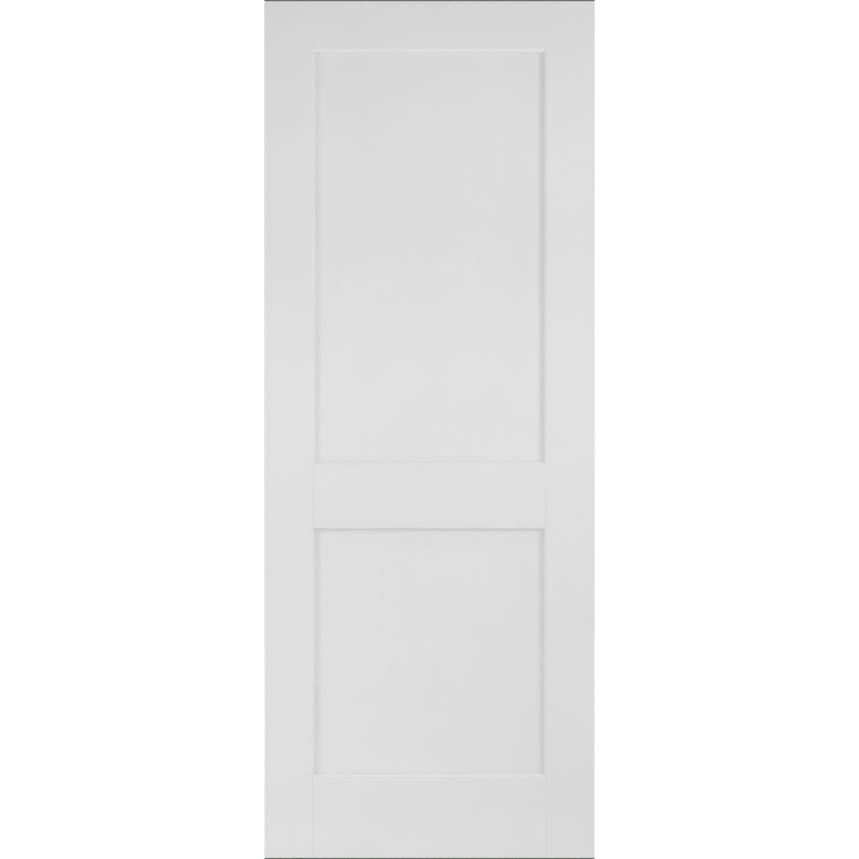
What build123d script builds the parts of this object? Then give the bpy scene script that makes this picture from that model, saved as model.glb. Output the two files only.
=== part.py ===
from build123d import *
import os
from typing import NamedTuple

# Fire door leaf in millimetres: two flat panels held in a frame of two stiles and three rails.
# Each frame member is a timber core between two facing boards, and a lipping closes each long edge.
# The leaf stands on its foot with +Z up, its front towards -Y and its width along +X.
# The origin is on the left edge, at the foot and at the middle of the thickness.

# Leaf
LEAF_WIDTH = 762.0
LEAF_HEIGHT = 1981.0
LEAF_THICKNESS = 44.0

# Frame members as they show on the face
STILE_WIDTH = 117.0
BOTTOM_RAIL_HEIGHT = 195.0
LOCK_RAIL_LEVEL = 759.0  # from the foot to the lock rail's lower edge
LOCK_RAIL_HEIGHT = 156.0
TOP_RAIL_HEIGHT = 119.0

# Layers of a frame member
FACING_THICKNESS = 6.0
LIPPING_DEPTH = 10.0

# Panels: two boards with a sheet of fire core between them
PANEL_THICKNESS = 22.0
FIRE_CORE_THICKNESS = 4.0

# Joinery: the panels and the rails' stub tenons share one groove
GROOVE_DEPTH = 12.0
PANEL_EDGE_GAP = 0.8  # panel edge to groove bottom
TENON_END_GAP = 0.4  # tenon end to groove bottom

# Dowels through each joint of rail and stile
DOWEL_DIAMETER = 12.0
DOWEL_LENGTH = 120.0
DOWEL_CHAMFER = 1.5
DOWEL_CLEARANCE = 0.1  # on the radius
DOWEL_END_GAP = 1.5  # at each end of its hole
DOWEL_MARGIN = 30.0  # tenon edge to the outer dowels
BOTTOM_RAIL_DOWELS = 3  # in each joint
LOCK_RAIL_DOWELS = 2
TOP_RAIL_DOWELS = 2

# Edges of the face
STICKING = 5.0  # bevel along each edge that faces a panel, as wide as it is deep
ARRIS_RADIUS = 1.5  # down the long edges of the leaf
END_BEVEL_HEIGHT = 3.0  # across its top and its foot, where it was trimmed to length: up the face
END_BEVEL_DEPTH = 1.0  # and into the face
JOINT_SCORE_DEPTH = 0.3  # fine V along each joint of rail and stile

# Places that follow from the sizes above
CORE_HALF = LEAF_THICKNESS / 2 - FACING_THICKNESS
PANEL_HALF = PANEL_THICKNESS / 2
SHOULDER_LENGTH = LEAF_WIDTH - 2 * STILE_WIDTH
TENON_LENGTH = GROOVE_DEPTH - TENON_END_GAP
LOCK_RAIL_TOP = LOCK_RAIL_LEVEL + LOCK_RAIL_HEIGHT
TOP_RAIL_LEVEL = LEAF_HEIGHT - TOP_RAIL_HEIGHT
MIDDLE = Plane.YZ.offset(LEAF_WIDTH / 2)


class Rail(NamedTuple):
    """A rail: its lower and upper edges, which of them hold a panel, and the dowels in each of its joints."""

    name: str
    low: float
    high: float
    panel_below: bool
    panel_above: bool
    dowels: int

    @property
    def web_low(self) -> float:
        """Lower edge of the web that is left between the grooves."""
        return self.low + GROOVE_DEPTH * self.panel_below

    @property
    def web_high(self) -> float:
        """Upper edge of the web that is left between the grooves."""
        return self.high - GROOVE_DEPTH * self.panel_above

    @property
    def face_low(self) -> float:
        """Lower edge of the flat of its face."""
        return self.low + STICKING * self.panel_below

    @property
    def face_high(self) -> float:
        """Upper edge of the flat of its face."""
        return self.high - STICKING * self.panel_above

    @property
    def dowel_levels(self) -> list[float]:
        """Heights of the dowels, evenly spaced up the web."""
        first = self.web_low + DOWEL_MARGIN
        step = (self.web_high - DOWEL_MARGIN - first) / (self.dowels - 1)
        return [first + step * place for place in range(self.dowels)]


RAILS = (
    Rail("bottom_rail", 0.0, BOTTOM_RAIL_HEIGHT, False, True, BOTTOM_RAIL_DOWELS),
    Rail("lock_rail", LOCK_RAIL_LEVEL, LOCK_RAIL_TOP, True, True, LOCK_RAIL_DOWELS),
    Rail("top_rail", TOP_RAIL_LEVEL, LEAF_HEIGHT, True, False, TOP_RAIL_DOWELS),
)
OPENINGS = {
    "lower": (BOTTOM_RAIL_HEIGHT, LOCK_RAIL_LEVEL),
    "upper": (LOCK_RAIL_TOP, TOP_RAIL_LEVEL),
}


def rectangle(left: float, right: float, low: float, high: float) -> Sketch:
    """Rectangle between two limits each way, in the sketch's own plane."""
    return Pos(left, low) * Rectangle(right - left, high - low, align=(Align.MIN, Align.MIN))


def face_block(left: float, right: float, low: float, high: float, near: float, far: float) -> Part:
    """Board with that outline on the face, from near to far of the middle plane, towards the front."""
    return extrude(Plane.XZ.offset(near) * rectangle(left, right, low, high), far - near)


def right_hand(piece: Part) -> Part:
    """The same piece on the right of the leaf."""
    return mirror(piece, about=MIDDLE)


def at_back(piece: Part) -> Part:
    """The same piece on the back of the leaf."""
    return mirror(piece, about=Plane.XZ)


def dowel_rods(rail: Rail, radius: float, length: float, chamfered: float = 0.0) -> list[Part]:
    """Round rods across a rail's left-hand joint, for its dowels or for the holes that take them."""
    rod = Cylinder(radius, length, rotation=(0, 90, 0))
    if chamfered:
        rod = chamfer(rod.edges().filter_by(GeomType.CIRCLE), chamfered)
    return [Pos(STILE_WIDTH, 0, level) * rod for level in rail.dowel_levels]


def dowel_holes(rail: Rail) -> list[Part]:
    """Holes of a rail's left-hand joint."""
    radius = DOWEL_DIAMETER / 2 + DOWEL_CLEARANCE
    return dowel_rods(rail, radius, DOWEL_LENGTH + 2 * DOWEL_END_GAP)


def rail_dowels(rail: Rail) -> Compound:
    """All the dowels of a rail, in both its joints."""
    rods = dowel_rods(rail, DOWEL_DIAMETER / 2, DOWEL_LENGTH, DOWEL_CHAMFER)
    return Compound(children=rods + [right_hand(rod) for rod in rods])


def left_stile_core() -> Part:
    """Full-height timber with a groove down its inner edge, bored for the rails' dowels."""
    section = rectangle(LIPPING_DEPTH, STILE_WIDTH, -CORE_HALF, CORE_HALF)
    section -= rectangle(STILE_WIDTH - GROOVE_DEPTH, STILE_WIDTH, -PANEL_HALF, PANEL_HALF)
    return extrude(section, LEAF_HEIGHT) - [hole for rail in RAILS for hole in dowel_holes(rail)]


def rail_core(rail: Rail) -> Part:
    """Timber between the stiles, grooved where it holds a panel, with its web run on as tenons."""
    section = rectangle(-CORE_HALF, CORE_HALF, rail.low, rail.high)
    if rail.panel_below:
        section -= rectangle(-PANEL_HALF, PANEL_HALF, rail.low, rail.web_low)
    if rail.panel_above:
        section -= rectangle(-PANEL_HALF, PANEL_HALF, rail.web_high, rail.high)
    web = rectangle(-PANEL_HALF, PANEL_HALF, rail.web_low, rail.web_high)
    body = extrude(Plane.YZ.offset(STILE_WIDTH) * section, SHOULDER_LENGTH)
    tenons = extrude(Plane.YZ.offset(STILE_WIDTH - TENON_LENGTH) * web, SHOULDER_LENGTH + 2 * TENON_LENGTH)
    holes = dowel_holes(rail)
    return body + tenons - holes - [right_hand(hole) for hole in holes]


def left_lipping() -> Part:
    """Strip that closes the long edge between the two facings."""
    return extrude(rectangle(0, LIPPING_DEPTH, -CORE_HALF, CORE_HALF), LEAF_HEIGHT)


def left_stile_facing() -> Part:
    """Front board of the left stile, with an arris down its outer edge and sticking down its inner one."""

    def front_corners(outline: Sketch) -> ShapeList:
        return outline.vertices().group_by(Axis.Y)[0].sort_by(Axis.X)

    section = rectangle(0, STILE_WIDTH, -LEAF_THICKNESS / 2, -CORE_HALF)
    section = chamfer(front_corners(section)[-1], STICKING)
    section = fillet(front_corners(section)[0], ARRIS_RADIUS)
    return extrude(section, LEAF_HEIGHT)


def rail_facing(rail: Rail, stile_facings: list[Part]) -> Part:
    """Front board of a rail, with sticking along its panels and its ends coped over the stiles'."""
    section = rectangle(-LEAF_THICKNESS / 2, -CORE_HALF, rail.low, rail.high)
    lower, upper = section.vertices().group_by(Axis.X)[0].sort_by(Axis.Y)
    section = chamfer([lower] * rail.panel_below + [upper] * rail.panel_above, STICKING)
    board = extrude(Plane.YZ.offset(STILE_WIDTH - STICKING) * section, SHOULDER_LENGTH + 2 * STICKING)
    return board - stile_facings


def joint_score(rail: Rail) -> Part:
    """Cutter for the fine V down the face of a rail's left-hand joint, where its cope meets the stile."""
    tip = JOINT_SCORE_DEPTH
    corners = ((-tip, -tip), (tip, -tip), (tip, 0), (0, tip), (-tip, 0))
    section = make_face(Polyline(*corners, close=True))
    place = Pos(STILE_WIDTH - STICKING, -LEAF_THICKNESS / 2, rail.face_low)
    return place * extrude(section, rail.face_high - rail.face_low)


def end_bevels() -> list[Part]:
    """Cutters for the bevels across the front of the foot and the top."""
    corners = ((0, 0), (END_BEVEL_DEPTH, 0), (0, END_BEVEL_HEIGHT))
    wedge = extrude(Plane.YZ * make_face(Polyline(*corners, close=True)), LEAF_WIDTH)
    foot = Pos(0, -LEAF_THICKNESS / 2, 0) * wedge
    return [foot, mirror(foot, about=Plane.XY.offset(LEAF_HEIGHT / 2))]


def front_facings() -> dict[str, Part]:
    """The front boards of the stiles and rails, scored at their joints and bevelled at the ends."""
    left_scores = [joint_score(rail) for rail in RAILS]
    cutters = left_scores + [right_hand(score) for score in left_scores] + end_bevels()
    left = left_stile_facing()
    stiles = {"left_stile": left, "right_stile": right_hand(left)}
    rails = {rail.name: rail_facing(rail, list(stiles.values())) for rail in RAILS}
    return {name: board - cutters for name, board in (stiles | rails).items()}


def panel_board(low: float, high: float, near: float, far: float) -> Part:
    """One layer of a panel, reaching into the grooves on all four sides of its opening."""
    reach = GROOVE_DEPTH - PANEL_EDGE_GAP
    left = STILE_WIDTH - reach
    return face_block(left, LEAF_WIDTH - left, low - reach, high + reach, near, far)


def leaf() -> dict[str, Part]:
    """Every piece of the leaf by its name."""
    pieces = {"left_stile_core": left_stile_core(), "left_edge_lipping": left_lipping()}
    pieces["right_stile_core"] = right_hand(pieces["left_stile_core"])
    pieces["right_edge_lipping"] = right_hand(pieces["left_edge_lipping"])
    for rail in RAILS:
        pieces[f"{rail.name}_core"] = rail_core(rail)
        pieces[f"{rail.name}_dowels"] = rail_dowels(rail)
    for name, board in front_facings().items():
        pieces[f"{name}_front_facing"] = board
        pieces[f"{name}_back_facing"] = at_back(board)
    for name, (low, high) in OPENINGS.items():
        fire_core_half = FIRE_CORE_THICKNESS / 2
        pieces[f"{name}_front_panel"] = panel_board(low, high, fire_core_half, PANEL_HALF)
        pieces[f"{name}_back_panel"] = at_back(pieces[f"{name}_front_panel"])
        pieces[f"{name}_panel_fire_core"] = panel_board(low, high, -fire_core_half, fire_core_half)
    return pieces


os.makedirs("parts", exist_ok=True)
for piece_name, piece in leaf().items():
    piece.label = piece_name
    export_step(piece, f"parts/{piece_name}.step")
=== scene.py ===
"""Looks of a fire door leaf: white primed boards on timber cores, in a plain white studio."""

import logging
import math
from dataclasses import dataclass
from enum import Enum

import bmesh
import bpy
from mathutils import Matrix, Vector


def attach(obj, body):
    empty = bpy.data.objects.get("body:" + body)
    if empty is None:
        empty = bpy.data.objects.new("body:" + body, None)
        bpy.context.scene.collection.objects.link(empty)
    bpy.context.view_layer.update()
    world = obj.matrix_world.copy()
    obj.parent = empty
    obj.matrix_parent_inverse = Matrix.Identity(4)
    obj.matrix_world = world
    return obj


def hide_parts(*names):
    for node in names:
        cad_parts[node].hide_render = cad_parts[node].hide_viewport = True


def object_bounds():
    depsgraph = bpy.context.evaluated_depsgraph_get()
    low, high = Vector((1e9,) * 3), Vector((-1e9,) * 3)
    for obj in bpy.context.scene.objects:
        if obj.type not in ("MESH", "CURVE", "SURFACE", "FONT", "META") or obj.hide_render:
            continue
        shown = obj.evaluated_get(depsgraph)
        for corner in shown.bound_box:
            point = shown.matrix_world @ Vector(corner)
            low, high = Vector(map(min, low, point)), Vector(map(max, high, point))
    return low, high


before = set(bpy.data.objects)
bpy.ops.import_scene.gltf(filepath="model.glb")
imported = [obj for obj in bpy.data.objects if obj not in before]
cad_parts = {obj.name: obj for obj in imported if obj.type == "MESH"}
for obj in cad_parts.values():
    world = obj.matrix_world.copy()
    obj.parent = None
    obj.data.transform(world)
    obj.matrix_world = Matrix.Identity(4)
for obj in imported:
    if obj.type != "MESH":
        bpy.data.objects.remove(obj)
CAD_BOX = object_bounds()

LOG = logging.getLogger("fire_door")
MM = 0.001
BODY = "root"
LEAF_LOW, LEAF_HIGH = CAD_BOX
LEAF_MIDDLE = (LEAF_LOW + LEAF_HIGH) / 2
FACE_DEPTH = LEAF_HIGH.y  # from the middle of the thickness to either face
Colour = tuple[float, float, float, float]
Point = tuple[float, float, float]
Band = tuple[float, float]  # where a smooth step is nought and where it is one


class Grain(Enum):
    """Which way a member runs, and with it the grain of its timber and the feed of its coater."""

    UP = "up"
    ACROSS = "across"


class Side(Enum):
    """A face of the leaf, by the way it looks along Y."""

    FRONT = -1
    BACK = 1


class Signal:
    """A shader output that Python's operators work on, each adding one Math node."""

    def __init__(self, graph: "Graph", socket: bpy.types.NodeSocket) -> None:
        """Wraps an output socket.

        Args:
            graph: The graph that the socket belongs to.
            socket: The output that carries the value.
        """
        self.graph = graph
        self.socket = socket

    def _math(self, operation: str, *values: "Signal | float") -> "Signal":
        """Adds one Math node.

        Args:
            operation: The node's operation.
            values: What goes into its sockets, in order.

        Returns:
            The node's result.
        """
        return self.graph.node("ShaderNodeMath", {"operation": operation}, dict(enumerate(values)))

    def __add__(self, other: "Signal | float") -> "Signal":
        """This plus other."""
        return self._math("ADD", self, other)

    def __radd__(self, other: float) -> "Signal":
        """A number plus this."""
        return self._math("ADD", other, self)

    def __sub__(self, other: "Signal | float") -> "Signal":
        """This less other."""
        return self._math("SUBTRACT", self, other)

    def __rsub__(self, other: float) -> "Signal":
        """A number less this."""
        return self._math("SUBTRACT", other, self)

    def __mul__(self, other: "Signal | float") -> "Signal":
        """This times other."""
        return self._math("MULTIPLY", self, other)

    def __truediv__(self, other: "Signal | float") -> "Signal":
        """This divided by other."""
        return self._math("DIVIDE", self, other)

    def __pow__(self, other: "Signal | float") -> "Signal":
        """This to the power of other."""
        return self._math("POWER", self, other)

    def __gt__(self, other: "Signal | float") -> "Signal":
        """One where this is greater than other, and nought elsewhere."""
        return self._math("GREATER_THAN", self, other)

    def __abs__(self) -> "Signal":
        """The size of this, whatever its sign."""
        return self._math("ABSOLUTE", self)

    def __floor__(self) -> "Signal":
        """This rounded down."""
        return self._math("FLOOR", self)

    def fraction(self) -> "Signal":
        """What is left of this above its whole number."""
        return self._math("FRACT", self)

    def root(self) -> "Signal":
        """The square root of this."""
        return self._math("SQRT", self)

    def least(self, other: "Signal | float") -> "Signal":
        """The smaller of this and other."""
        return self._math("MINIMUM", self, other)

    def most(self, other: "Signal | float") -> "Signal":
        """The larger of this and other."""
        return self._math("MAXIMUM", self, other)

    def swing(self, amount: float) -> "Signal":
        """Noise about a half, turned into a change about nought that is amount from end to end."""
        return (self - 0.5) * amount

    def ease(self, start: float, end: float) -> "Signal":
        """A smooth step of this.

        Args:
            start: Where the step is nought.
            end: Where the step is one, above or below start.

        Returns:
            The step, from nought to one.
        """
        sockets = {"Value": self, "From Min": start, "From Max": end}
        return self.graph.node("ShaderNodeMapRange", {"interpolation_type": "SMOOTHSTEP"}, sockets)


@dataclass
class Place:
    """Where a point of a surface is in the leaf's frame, in metres."""

    vector: Signal
    x: Signal
    y: Signal
    z: Signal

    def turned(self, grain: Grain) -> tuple[Signal, Signal, Signal]:
        """Distances across the face, through the thickness and along the grain."""
        return (self.x, self.y, self.z) if grain is Grain.UP else (self.z, self.y, self.x)


@dataclass
class Coat:
    """What one layer of a finish gives to the shader: its colour, its roughness and its relief in metres."""

    colour: Signal
    roughness: Signal
    relief: Signal


class Graph:
    """The node tree of one material."""

    MIX_A, MIX_B, MIX_COLOUR = 6, 7, 2  # sockets of a Mix node that takes colours

    def __init__(self, name: str) -> None:
        """Makes an empty material.

        Args:
            name: The material's name.
        """
        self.material = bpy.data.materials.new(name)
        self.material.use_nodes = True
        self.tree = self.material.node_tree
        self.tree.nodes.clear()

    def node(
        self,
        kind: str,
        settings: dict[str, object] | None = None,
        sockets: dict[int | str, object] | None = None,
        output: int | str = 0,
    ) -> Signal | None:
        """Adds a node.

        Args:
            kind: The node's type.
            settings: Properties of the node, set before its sockets.
            sockets: Values or signals for its inputs, by index or name.
            output: Which of its outputs is wanted.

        Returns:
            That output, or nothing from a node that has none.
        """
        made = self.tree.nodes.new(kind)
        for name, value in (settings or {}).items():
            setattr(made, name, value)
        for key, value in (sockets or {}).items():
            if isinstance(value, Signal):
                self.tree.links.new(value.socket, made.inputs[key])
            else:
                made.inputs[key].default_value = value
        return Signal(self, made.outputs[output]) if made.outputs else None

    def place(self) -> Place:
        """Reads the point that is shaded, from Object coordinates.

        Returns:
            The point and its three distances.
        """
        vector = self.node("ShaderNodeTexCoord", output="Object")
        axes = [self.node("ShaderNodeSeparateXYZ", {}, {0: vector}, axis) for axis in "XYZ"]
        return Place(vector, *axes)

    def scaled(self, vector: Signal, scale: Point) -> Signal:
        """A vector stretched by a factor for each axis."""
        return self.node("ShaderNodeVectorMath", {"operation": "MULTIPLY"}, {0: vector, 1: scale})

    def drawn(self, vector: Signal, grain: Grain, stretch: float) -> Signal:
        """A vector scaled along the grain only, to draw noise out that way."""
        return self.scaled(vector, (1.0, 1.0, stretch) if grain is Grain.UP else (stretch, 1.0, 1.0))

    def noise(self, vector: Signal, scale: float, detail: float = 2.0, roughness: float = 0.5) -> Signal:
        """Smooth noise about a half.

        Args:
            vector: Where the noise is read.
            scale: Its spots to the metre.
            detail: How many finer layers it has.
            roughness: How strong the finer layers are.

        Returns:
            The noise, from nought to one.
        """
        sockets = {"Vector": vector, "Scale": scale, "Detail": detail, "Roughness": roughness}
        return self.node("ShaderNodeTexNoise", {}, sockets)

    def mix(self, factor: Signal | float, first: Signal | Colour, second: Signal | Colour) -> Signal:
        """A blend of two colours.

        Args:
            factor: Share of the second colour.
            first: Colour where the factor is nought.
            second: Colour where the factor is one.

        Returns:
            The blended colour.
        """
        sockets = {0: factor, self.MIX_A: first, self.MIX_B: second}
        return self.node("ShaderNodeMix", {"data_type": "RGBA"}, sockets, self.MIX_COLOUR)

    def over(self, mask: Signal, under: Coat, upper: Coat) -> Coat:
        """One coat laid over another.

        Args:
            mask: Where the upper coat shows.
            under: The coat below.
            upper: The coat above.

        Returns:
            The two as one coat.
        """
        return Coat(
            self.mix(mask, under.colour, upper.colour),
            under.roughness + (upper.roughness - under.roughness) * mask,
            under.relief + (upper.relief - under.relief) * mask,
        )

    def finish(self, coat: Coat, **constants: float) -> bpy.types.Material:
        """Joins a coat to the shader.

        Args:
            coat: What the surface shows.
            constants: Shader inputs that are the same all over.

        Returns:
            The finished material.
        """
        normal = self.node("ShaderNodeBump", {}, {"Distance": 1.0, "Height": coat.relief})
        sockets = {"Base Color": coat.colour, "Roughness": coat.roughness, "Normal": normal} | constants
        shader = self.node("ShaderNodeBsdfPrincipled", {}, sockets)
        self.node("ShaderNodeOutputMaterial", {}, {"Surface": shader})
        return self.material


def grey(tone: float) -> Colour:
    """A neutral colour of that brightness."""
    return (tone, tone, tone, 1.0)


@dataclass(frozen=True)
class Primer:
    """Factory white primer: a matt coat with a faint stipple, streaked the way that a member was fed."""

    tone: float = 0.80
    thin_tone: float = 0.79  # where the coat is a little thin
    thin_band: Band = (0.35, 0.65)
    seam_shade_tone: float = 0.45  # painted shade in the line of a joint
    roughness: float = 0.52
    cloud_scale: float = 7.0  # spots to the metre, as for every scale below
    cloud_share: float = 0.8  # of what makes the coat thin; the streaks make the rest
    streak_scale: float = 90.0
    streak_stretch: float = 0.02
    streak_height: float = 0.004 * MM
    streak_gloss: float = 0.12  # change of roughness from streak to streak
    stipple_scale: float = 800.0
    stipple_height: float = 0.012 * MM
    stipple_gloss: float = 0.10

    def coat(self, graph: Graph, place: Place, grain: Grain) -> Coat:
        """The primer as a coat.

        Args:
            graph: The material's nodes.
            place: The point that is shaded.
            grain: The way that the member was fed through the coater.

        Returns:
            The coat.
        """
        cloud = graph.noise(place.vector, self.cloud_scale, detail=3.0)
        streak = graph.noise(graph.drawn(place.vector, grain, self.streak_stretch), self.streak_scale)
        stipple = graph.noise(place.vector, self.stipple_scale, roughness=0.6)
        thin = cloud * self.cloud_share + streak * (1 - self.cloud_share)
        colour = graph.mix(thin.ease(*self.thin_band), grey(self.tone), grey(self.thin_tone))
        roughness = self.roughness + stipple.swing(self.stipple_gloss) + streak.swing(self.streak_gloss)
        relief = stipple * self.stipple_height + streak * self.streak_height
        return Coat(colour, roughness, relief)


@dataclass(frozen=True)
class FibreBoard:
    """Pressed wood fibre, seen bare where a facing was sawn: soft in the middle and dense at its skins."""

    skin: Colour = (0.30, 0.195, 0.115, 1.0)
    skin_band: Band = (0.35, 1.0)  # as shares of the way from the middle of the board to its skin
    middle: Colour = (0.43, 0.30, 0.19, 1.0)
    thickness: float = 6 * MM
    layer_stretch: float = 5.0
    fibre_scale: float = 420.0
    fibre_band: Band = (0.3, 0.75)
    fibre_gloss: float = 0.2
    fleck: Colour = (0.16, 0.10, 0.06, 1.0)
    fleck_scale: float = 1260.0
    fleck_band: Band = (0.62, 0.72)
    fleck_share: float = 0.5
    roughness: float = 0.86
    nap: float = 0.05 * MM

    def coat(self, graph: Graph, place: Place, grain: Grain) -> Coat:
        """The bare board as a coat.

        Args:
            graph: The material's nodes.
            place: The point that is shaded.
            grain: Not felt by a board whose fibres lie every way.

        Returns:
            The coat.
        """
        half = self.thickness / 2
        from_middle = abs(abs(place.y) - (FACE_DEPTH - half)) / half
        flat = graph.scaled(place.vector, (1.0, self.layer_stretch, 1.0))
        fibre = graph.noise(flat, self.fibre_scale, detail=4.0, roughness=0.65)
        fleck = graph.noise(place.vector, self.fleck_scale, detail=1.0).ease(*self.fleck_band)
        body = graph.mix(from_middle.ease(*self.skin_band), self.middle, self.skin)
        dark = graph.mix(fibre.ease(*self.fibre_band), body, self.skin)
        colour = graph.mix(fleck * self.fleck_share, dark, self.fleck)
        return Coat(colour, self.roughness + fibre.swing(self.fibre_gloss), fibre * self.nap)


@dataclass(frozen=True)
class Timber:
    """Solid timber glued up from staves, its growth rings running on from the end grain to the sides."""

    early: Colour
    late: Colour
    late_share: float = 0.75
    late_sharpness: float = 3.0  # how suddenly the late wood of a ring sets in
    late_relief: float = 0.02 * MM
    stave: float = 33 * MM
    stave_seed: float = 7.31
    stave_shade: float = 0.35  # most that a stave may be darker than another
    ring_pitch: float = 3.2 * MM
    ring_wander: float = 5 * MM
    wander_scale: float = 40.0
    taper: float = 0.004  # growth of the rings for each metre along the grain
    pith_depth: float = 46 * MM  # from the middle of the thickness to the heart of the tree
    pith_least: float = 0.75  # of that depth in any stave
    pith_spread: float = 0.5  # of that depth between one stave and another
    pith_aside: Band = (-0.3, 1.3)  # where the heart may lie across a stave, in staves
    grain_stretch: float = 0.06
    pore_scale: float = 900.0
    pore_band: Band = (0.45, 0.75)
    pore_share: float = 0.45
    pore_gloss: float = 0.2
    roughness: float = 0.72
    nap: float = 0.04 * MM

    def coat(self, graph: Graph, place: Place, grain: Grain) -> Coat:
        """The bare timber as a coat.

        Args:
            graph: The material's nodes.
            place: The point that is shaded.
            grain: The way that the timber runs.

        Returns:
            The coat.
        """
        drawn = graph.drawn(place.vector, grain, self.grain_stretch)
        pore = graph.noise(drawn, self.pore_scale, detail=3.0, roughness=0.6)
        across, through, along = place.turned(grain)
        stave = math.floor(across / self.stave)
        seed = stave + self.stave_seed
        chance = graph.node("ShaderNodeTexWhiteNoise", {"noise_dimensions": "1D"}, {"W": seed})
        first, last = self.pith_aside
        aside = across - (stave + chance * (last - first) + first) * self.stave
        turn = (chance > 0.5) * 2 - 1  # half the staves have their heart to the front
        deep = through + turn * self.pith_depth * (chance * self.pith_spread + self.pith_least)
        wander = graph.noise(drawn, self.wander_scale).swing(self.ring_wander) + along * self.taper
        ring = ((aside * aside + deep * deep).root() + wander) / self.ring_pitch
        late = ring.fraction() ** self.late_sharpness
        wood = graph.mix(late * self.late_share, self.early, self.late)
        worn = graph.mix(pore.ease(*self.pore_band) * self.pore_share, wood, self.late)
        colour = graph.mix(chance * self.stave_shade, worn, self.late)
        relief = pore * self.nap - late * self.late_relief
        return Coat(colour, self.roughness + pore.swing(self.pore_gloss), relief)


SOFTWOOD = Timber(early=(0.66, 0.47, 0.28, 1.0), late=(0.40, 0.235, 0.11, 1.0))
HARDWOOD = Timber(
    early=(0.42, 0.23, 0.13, 1.0),
    late=(0.25, 0.12, 0.065, 1.0),
    stave=60 * MM,
    ring_pitch=1.6 * MM,
    pore_scale=1400.0,
)


@dataclass(frozen=True)
class EndSealer:
    """Dark sealer brushed over the ends, where the leaf was trimmed to length after priming."""

    thick: Colour = (0.006, 0.0055, 0.0055, 1.0)
    thin: Colour = (0.020, 0.017, 0.015, 1.0)
    thin_band: Band = (0.38, 0.64)
    brush_scale: float = 160.0
    brush_stretch: float = 0.05
    brush_share: float = 0.6  # of what makes the coat thin; the soaking in makes the rest
    brush_height: float = 0.03 * MM
    soak_scale: float = 320.0
    soak_gloss: float = 0.3
    roughness: float = 0.62
    bevel_height: float = 3 * MM  # of the bevel across each end, up the face
    bevel_depth: float = 1 * MM  # and into the face
    end_skin: float = 0.15 * MM  # depth to which it covers the end
    lap: float = 1.12  # reach over the face, as a multiple of the bevel

    def coat(self, graph: Graph, place: Place) -> Coat:
        """The sealer as a coat.

        Args:
            graph: The material's nodes.
            place: The point that is shaded.

        Returns:
            The coat.
        """
        drawn = graph.drawn(place.vector, Grain.ACROSS, self.brush_stretch)
        brush = graph.noise(drawn, self.brush_scale, detail=3.0, roughness=0.6)
        soak = graph.noise(place.vector, self.soak_scale, detail=3.0, roughness=0.65)
        thin = brush * self.brush_share + soak * (1 - self.brush_share)
        colour = graph.mix(thin.ease(*self.thin_band), self.thick, self.thin)
        return Coat(colour, self.roughness + soak.swing(self.soak_gloss), brush * self.brush_height)

    def mask(self, place: Place) -> Signal:
        """Where the ends and their bevels are.

        Args:
            place: The point that is shaded.

        Returns:
            One on the ends and their bevels, and nought elsewhere.
        """
        from_end = (place.z - LEAF_LOW.z).least(LEAF_HIGH.z - place.z)
        from_face = FACE_DEPTH - abs(place.y)
        up_bevel = from_end / self.bevel_height + from_face / self.bevel_depth
        return 1 - (from_end > self.end_skin) * (up_bevel > self.lap)


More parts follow.
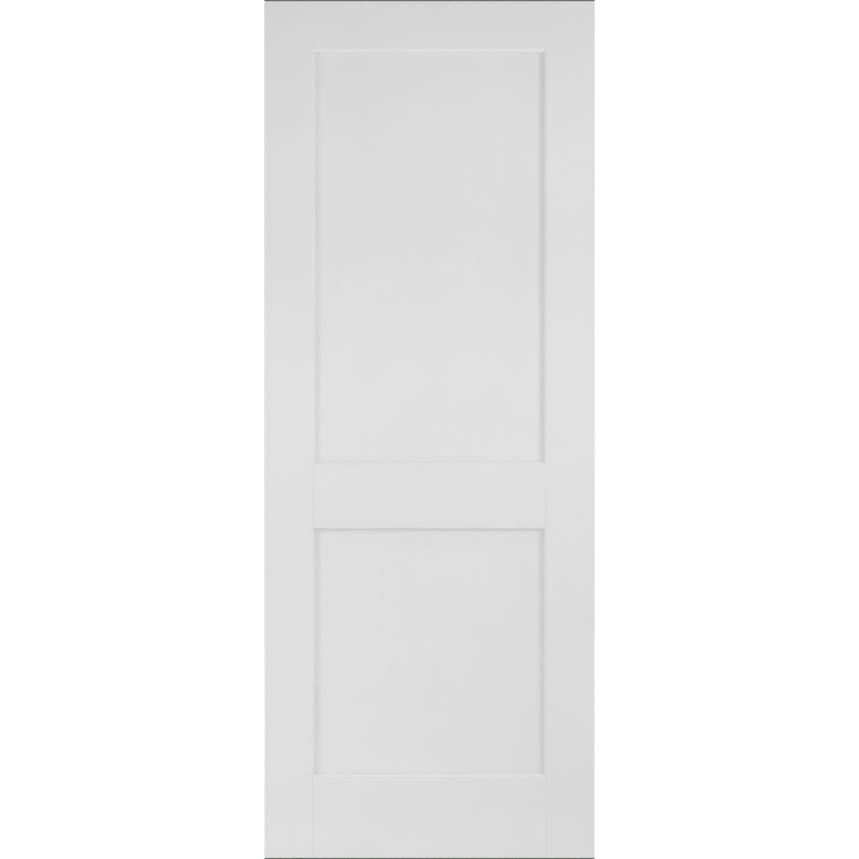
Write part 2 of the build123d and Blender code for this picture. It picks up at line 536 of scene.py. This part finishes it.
@dataclass(frozen=True)
class PrimedFinish:
    """Primer over a stock whose relief shows through a little, with painted shade in the lines of its joints
    and the sealer on the ends.
    """

    name: str
    stock: FibreBoard | Timber
    grain: Grain
    primer: Primer = Primer()
    sealer: EndSealer = EndSealer()
    telegraph: float = 0.12  # share of the stock's relief that shows through the primer
    soak: float = 0.025  # share of the stock's colour that shows through the sealer
    layer_depth: float = 6 * MM  # from the face to the joint behind the facing
    layer_reach: float = 0.25 * MM  # half the width of the line that this joint leaves in the primer, sunk a little and darkened with painted shade
    layer_strength: float = 0.45
    rail_ends: Band | None = None  # where a rail meets the stiles, along X
    rail_end_reach: float = 1.3 * MM  # width of the painted shade line at a rail's end, also sunk a little
    rail_end_fade: float = 0.8  # share of that line that fades out towards the head
    seam_sink: float = 0.05 * MM
    patch_scale: float = 5.0  # of the patches in which the lines show
    patch_band: Band = (0.25, 0.6)

    def material(self) -> bpy.types.Material:
        """Makes the finish.

        Returns:
            The finish as a material.
        """
        graph = Graph(self.name)
        place = graph.place()
        bare = self.stock.coat(graph, place, self.grain)
        primed = self.primer.coat(graph, place, self.grain)
        seam_groove_and_shade = self._seam_groove_and_shade(graph, place)
        primed.relief = primed.relief + bare.relief * self.telegraph - seam_groove_and_shade * self.seam_sink
        # painted shade: darkens the primer in the fine lines of the joints
        primed.colour = graph.mix(seam_groove_and_shade, primed.colour, grey(self.primer.seam_shade_tone))
        sealed = self.sealer.coat(graph, place)
        sealed.colour = graph.mix(self.soak, sealed.colour, bare.colour)
        sealed.relief = sealed.relief + bare.relief
        return graph.finish(graph.over(self.sealer.mask(place), primed, sealed))

    def _seam_groove_and_shade(self, graph: Graph, place: Place) -> Signal:
        """How strongly the fine line of a joint shows in the primer, both where it sinks the primer and
        where painted shade darkens it.

        Args:
            graph: The material's nodes.
            place: The point that is shaded.

        Returns:
            One in the middle of a line where it is strong, down to nought clear of it.
        """
        from_layer = abs(FACE_DEPTH - abs(place.y) - self.layer_depth)
        line = from_layer.ease(self.layer_reach, 0.0) * self.layer_strength
        if self.rail_ends:
            left, right = self.rail_ends
            from_end = (place.x - left).least(right - place.x)
            # the painted shade line at a rail's end fades out from the middle of the leaf up to its head
            shade_line_share = 1 - place.z.ease(LEAF_MIDDLE.z, LEAF_HIGH.z) * self.rail_end_fade
            line = line.most(from_end.ease(self.rail_end_reach, 0.0) * shade_line_share)
        return line * graph.noise(place.vector, self.patch_scale).ease(*self.patch_band)


@dataclass(frozen=True)
class BareTimberFinish:
    """Timber as it was turned, with no coat."""

    name: str
    stock: Timber
    grain: Grain

    def material(self) -> bpy.types.Material:
        """The finish as a material."""
        graph = Graph(self.name)
        return graph.finish(self.stock.coat(graph, graph.place(), self.grain))


@dataclass(frozen=True)
class FireCoreFinish:
    """Dark sheet that swells in a fire: graphite flakes in a grey binder."""

    name: str = "fire_core_sheet"
    binder: Colour = (0.115, 0.11, 0.105, 1.0)
    flake: Colour = (0.035, 0.035, 0.04, 1.0)
    flake_scale: float = 380.0
    flake_share: float = 0.7  # of what darkens the sheet; the clouds make the rest
    flake_band: Band = (0.42, 0.6)
    flake_gloss: float = 0.3
    cloud_scale: float = 19.0
    roughness: float = 0.8
    relief: float = 0.06 * MM

    def material(self) -> bpy.types.Material:
        """Makes the finish.

        Returns:
            The finish as a material.
        """
        graph = Graph(self.name)
        place = graph.place()
        flake = graph.noise(place.vector, self.flake_scale, detail=3.0, roughness=0.7)
        cloud = graph.noise(place.vector, self.cloud_scale)
        dark = flake * self.flake_share + cloud * (1 - self.flake_share)
        colour = graph.mix(dark.ease(*self.flake_band), self.binder, self.flake)
        return graph.finish(Coat(colour, self.roughness - flake * self.flake_gloss, flake * self.relief))


def add_object(name: str, data: bpy.types.ID) -> bpy.types.Object:
    """Adds an object to the scene.

    Args:
        name: The object's name.
        data: Its mesh, lamp or camera.

    Returns:
        The object.
    """
    made = bpy.data.objects.new(name, data)
    bpy.context.scene.collection.objects.link(made)
    return made


def add_shape(name: str, shape: bmesh.types.BMesh) -> bpy.types.Object:
    """Adds a worked shape to the scene as an object, and frees the shape.

    Args:
        name: The object's name.
        shape: The shape, in the leaf's frame.

    Returns:
        The object.
    """
    mesh = bpy.data.meshes.new(name)
    shape.to_mesh(mesh)
    shape.free()
    return add_object(name, mesh)


def dress(piece: bpy.types.Object, material: bpy.types.Material) -> None:
    """Gives a piece one material.

    Args:
        piece: The piece to dress.
        material: Its finish.
    """
    piece.data.materials.clear()
    piece.data.materials.append(material)


@dataclass
class Facings:
    """The boards on the faces of the stiles and rails, with their machined edges softened by sanding."""

    rail_inset: float = 112 * MM  # from a long edge of the leaf to a rail's end
    merge_reach: float = 0.001 * MM
    flat_angle: float = math.radians(0.5)  # up to which neighbouring faces are one
    sharp_angle: float = math.radians(20)  # from which an edge is sanded
    shortest_edge: float = 20 * MM
    skin: float = 5.1 * MM  # depth from the face within which edges are sanded
    ease_width: float = 0.5 * MM
    ease_segments: int = 3

    def build(self) -> list[bpy.types.Object]:
        """Builds and dresses every facing.

        Returns:
            The facings.
        """
        made = []
        rail_ends = (LEAF_LOW.x + self.rail_inset, LEAF_HIGH.x - self.rail_inset)
        for grain, members, ends in (
            (Grain.UP, ("left_stile", "right_stile"), None),
            (Grain.ACROSS, ("top_rail", "lock_rail", "bottom_rail"), rail_ends),
        ):
            finish = PrimedFinish(f"primed_board_{grain.value}", FibreBoard(), grain, rail_ends=ends)
            material = finish.material()
            for member in members:
                for side in Side:
                    made.append(self._board(f"{member}_{side.name.lower()}", material))
        return made

    def _board(self, name: str, material: bpy.types.Material) -> bpy.types.Object:
        """One facing, worked from a merged copy of its solid.

        Args:
            name: The member and its face.
            material: The facing's finish.

        Returns:
            The facing.
        """
        node = f"{name}_facing"
        shape = bmesh.new()
        shape.from_mesh(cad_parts[node].data)
        bmesh.ops.remove_doubles(shape, verts=shape.verts, dist=self.merge_reach)
        bmesh.ops.dissolve_limit(shape, angle_limit=self.flat_angle, verts=shape.verts, edges=shape.edges)
        bmesh.ops.bevel(
            shape,
            geom=[edge for edge in shape.edges if self._is_sanded(edge)],
            offset=self.ease_width,
            offset_type="OFFSET",
            segments=self.ease_segments,
            profile=0.5,
            affect="EDGES",
            clamp_overlap=True,
            material=-1,
        )
        board = add_shape(f"{name}_board", shape)
        dress(board, material)
        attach(board, BODY)
        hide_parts(node)
        return board

    def _is_sanded(self, edge: bmesh.types.BMEdge) -> bool:
        """Whether an edge is a machined one that shows on the face.

        Args:
            edge: An edge of a facing.

        Returns:
            True for an edge that is sharp, long and near the face.
        """
        if len(edge.link_faces) != 2 or edge.calc_face_angle_signed() < self.sharp_angle:
            return False
        depth = max(FACE_DEPTH - abs(vertex.co.y) for vertex in edge.verts)
        return depth < self.skin and edge.calc_length() > self.shortest_edge


@dataclass
class CadPieces:
    """The solids that are shown as they are: panels, lippings, cores, and what they hide."""

    joint_soak: float = 3 * MM  # how deep the sealer ran into the joints at the ends of the cores

    def dress(self) -> list[bpy.types.Object]:
        """Gives each solid its finish.

        Returns:
            The solids.
        """
        panel = PrimedFinish("primed_panel", FibreBoard(), Grain.UP).material()
        soaked = EndSealer(end_skin=self.joint_soak)
        upright = PrimedFinish("primed_core_up", SOFTWOOD, Grain.UP, sealer=soaked).material()
        across = PrimedFinish("primed_core_across", SOFTWOOD, Grain.ACROSS, sealer=soaked).material()
        lipping = PrimedFinish("primed_lipping", HARDWOOD, Grain.UP).material()
        rod = BareTimberFinish("dowel_rod", HARDWOOD, Grain.ACROSS).material()
        sheet = FireCoreFinish().material()
        kinds = {
            "_front_panel": panel,
            "_back_panel": panel,
            "_stile_core": upright,
            "_rail_core": across,
            "_edge_lipping": lipping,
            "_rail_dowels": rod,
            "_panel_fire_core": sheet,
        }
        dressed = []
        for name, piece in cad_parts.items():
            for ending, material in kinds.items():
                if name.endswith(ending):
                    dress(piece, material)
                    dressed.append(piece)
        return dressed


@dataclass(frozen=True)
class Lamp:
    """A lamp of the studio: a soft box, or a strip with a grid on its front."""

    name: str
    spot: Point
    aim: Point
    power: float
    width: float = 0.3
    height: float = 0.3
    spread: float = 180.0  # in degrees, narrowed by a grid


@dataclass
class Studio:
    """A white studio: a pale floor, soft boxes all round, strips on the face and a camera square to it."""

    camera_distance: float = 2.3  # from the face
    picture_span: float = 1.9794  # of the face, over the side of the picture
    look_height: float = 0.9905
    sensor: float = 36.0
    ambient: float = 0.606  # light of the surroundings on the leaf
    backdrop: float = 1.05  # light of the surroundings in the picture
    floor_reach: float = 40.0
    floor_tones: Band = (0.80, 0.82)
    floor_roughness: float = 0.7
    floor_gloss: float = 0.1
    floor_cloud_scale: float = 3.0
    floor_relief: float = 0.2 * MM
    floor_glow: float = 0.55  # lifts the floor to the white of the surroundings
    lamps: tuple[Lamp, ...] = (
        Lamp("left_box", (-1.80, -1.30, 0.70), (0.38, -0.02, 0.70), 8.6),
        Lamp("right_box", (2.56, -1.30, 1.40), (0.38, -0.02, 1.40), 10.2),
        Lamp("right_near_box", (1.86, -1.30, 1.00), (0.38, -0.02, 1.00), 1.8),
        Lamp("front_box", (0.38, -1.80, 1.60), (0.38, -0.02, 0.00), 3.5),
        Lamp("left_near_box", (-0.30, -1.00, 1.40), (-0.30, -0.02, 0.00), 0.47),
        Lamp("low_box", (-0.10, -1.20, 0.10), (-0.10, -0.02, 0.10), 1.1),
        Lamp("bevel_strip", (2.40, -0.25, 1.00), (0.115, -0.02, 1.00), 0.055, 0.04, 1.8, 8.0),
        Lamp("foot_strip", (0.38, -1.80, 0.90), (0.38, -0.02, 0.02), 0.10, 1.0, 0.2, 40.0),
        Lamp("sill_strip", (0.38, -0.60, 0.08), (0.38, -0.02, 0.02), 0.011, 0.9, 0.06, 24.0),
        Lamp("head_strip", (0.38, -0.30, 1.05), (0.38, -0.02, 1.87), 0.053, 0.9, 0.08, 30.0),
        Lamp("lock_strip", (0.38, -0.30, 1.75), (0.38, -0.02, 0.93), 0.037, 0.9, 0.08, 30.0),
        Lamp("rear_left_box", (-0.90, 2.20, 1.30), (0.38, 0.02, 1.00), 10.0),
        Lamp("rear_right_box", (1.90, 2.20, 1.60), (0.38, 0.02, 1.00), 12.5),
    )

    def build(self) -> None:
        """Builds the studio."""
        self._floor()
        self._world()
        for lamp in self.lamps:
            self._lamp(lamp)
        self._camera()
        bpy.context.scene.view_settings.view_transform = "Standard"

    def _floor(self) -> None:
        """Lays a wide pale floor under the leaf, which throws no light back on it."""
        shape = bmesh.new()
        bmesh.ops.create_grid(shape, x_segments=1, y_segments=1, size=self.floor_reach)
        floor = add_shape("studio_floor", shape)
        graph = Graph("studio_floor")
        cloud = graph.noise(graph.place().vector, self.floor_cloud_scale)
        colour = graph.mix(cloud, *(grey(tone) for tone in self.floor_tones))
        coat = Coat(colour, self.floor_roughness + cloud * self.floor_gloss, cloud * self.floor_relief)
        glow = {"Emission Color": grey(1.0), "Emission Strength": self.floor_glow}
        dress(floor, graph.finish(coat, **glow))
        floor.visible_diffuse = False
        floor.visible_glossy = False

    def _world(self) -> None:
        """Surrounds the studio with even white light."""
        world = bpy.data.worlds.new("studio_white")
        world.use_nodes = True
        nodes, links = world.node_tree.nodes, world.node_tree.links
        nodes.clear()
        path = nodes.new("ShaderNodeLightPath")
        mix = nodes.new("ShaderNodeMixShader")
        out = nodes.new("ShaderNodeOutputWorld")
        links.new(path.outputs["Is Camera Ray"], mix.inputs[0])
        for socket, strength in enumerate((self.ambient, self.backdrop), start=1):
            light = nodes.new("ShaderNodeBackground")
            light.inputs["Color"].default_value = grey(1.0)
            light.inputs["Strength"].default_value = strength
            links.new(light.outputs[0], mix.inputs[socket])
        links.new(mix.outputs[0], out.inputs[0])
        bpy.context.scene.world = world

    def _lamp(self, lamp: Lamp) -> None:
        """Hangs one lamp.

        Args:
            lamp: Its place, power, size and spread.
        """
        data = bpy.data.lights.new(lamp.name, "AREA")
        data.shape = "RECTANGLE"
        data.size, data.size_y = lamp.width, lamp.height
        data.spread = math.radians(lamp.spread)
        data.energy = lamp.power
        box = add_object(lamp.name, data)
        box.location = lamp.spot
        box.rotation_euler = (Vector(lamp.aim) - Vector(lamp.spot)).to_track_quat("-Z", "Y").to_euler()
        box.visible_camera = False

    def _camera(self) -> None:
        """Sets the camera square to the front face."""
        data = bpy.data.cameras.new("square_on")
        data.sensor_width = self.sensor
        data.lens = self.sensor * self.camera_distance / self.picture_span
        camera = add_object("square_on", data)
        camera.location = (LEAF_MIDDLE.x, LEAF_LOW.y - self.camera_distance, self.look_height)
        camera.rotation_euler = (math.pi / 2, 0.0, 0.0)
        bpy.context.scene.camera = camera


def main() -> None:
    """Builds the leaf and its studio, and reports each piece."""
    logging.basicConfig(level=logging.INFO, format="%(name)s: %(message)s")
    for piece in Facings().build():
        LOG.info("built %s", piece.name)
    for piece in CadPieces().dress():
        LOG.info("dressed %s", piece.name)
    Studio().build()
    LOG.info("set up the studio")


if __name__ == "__main__":
    main()
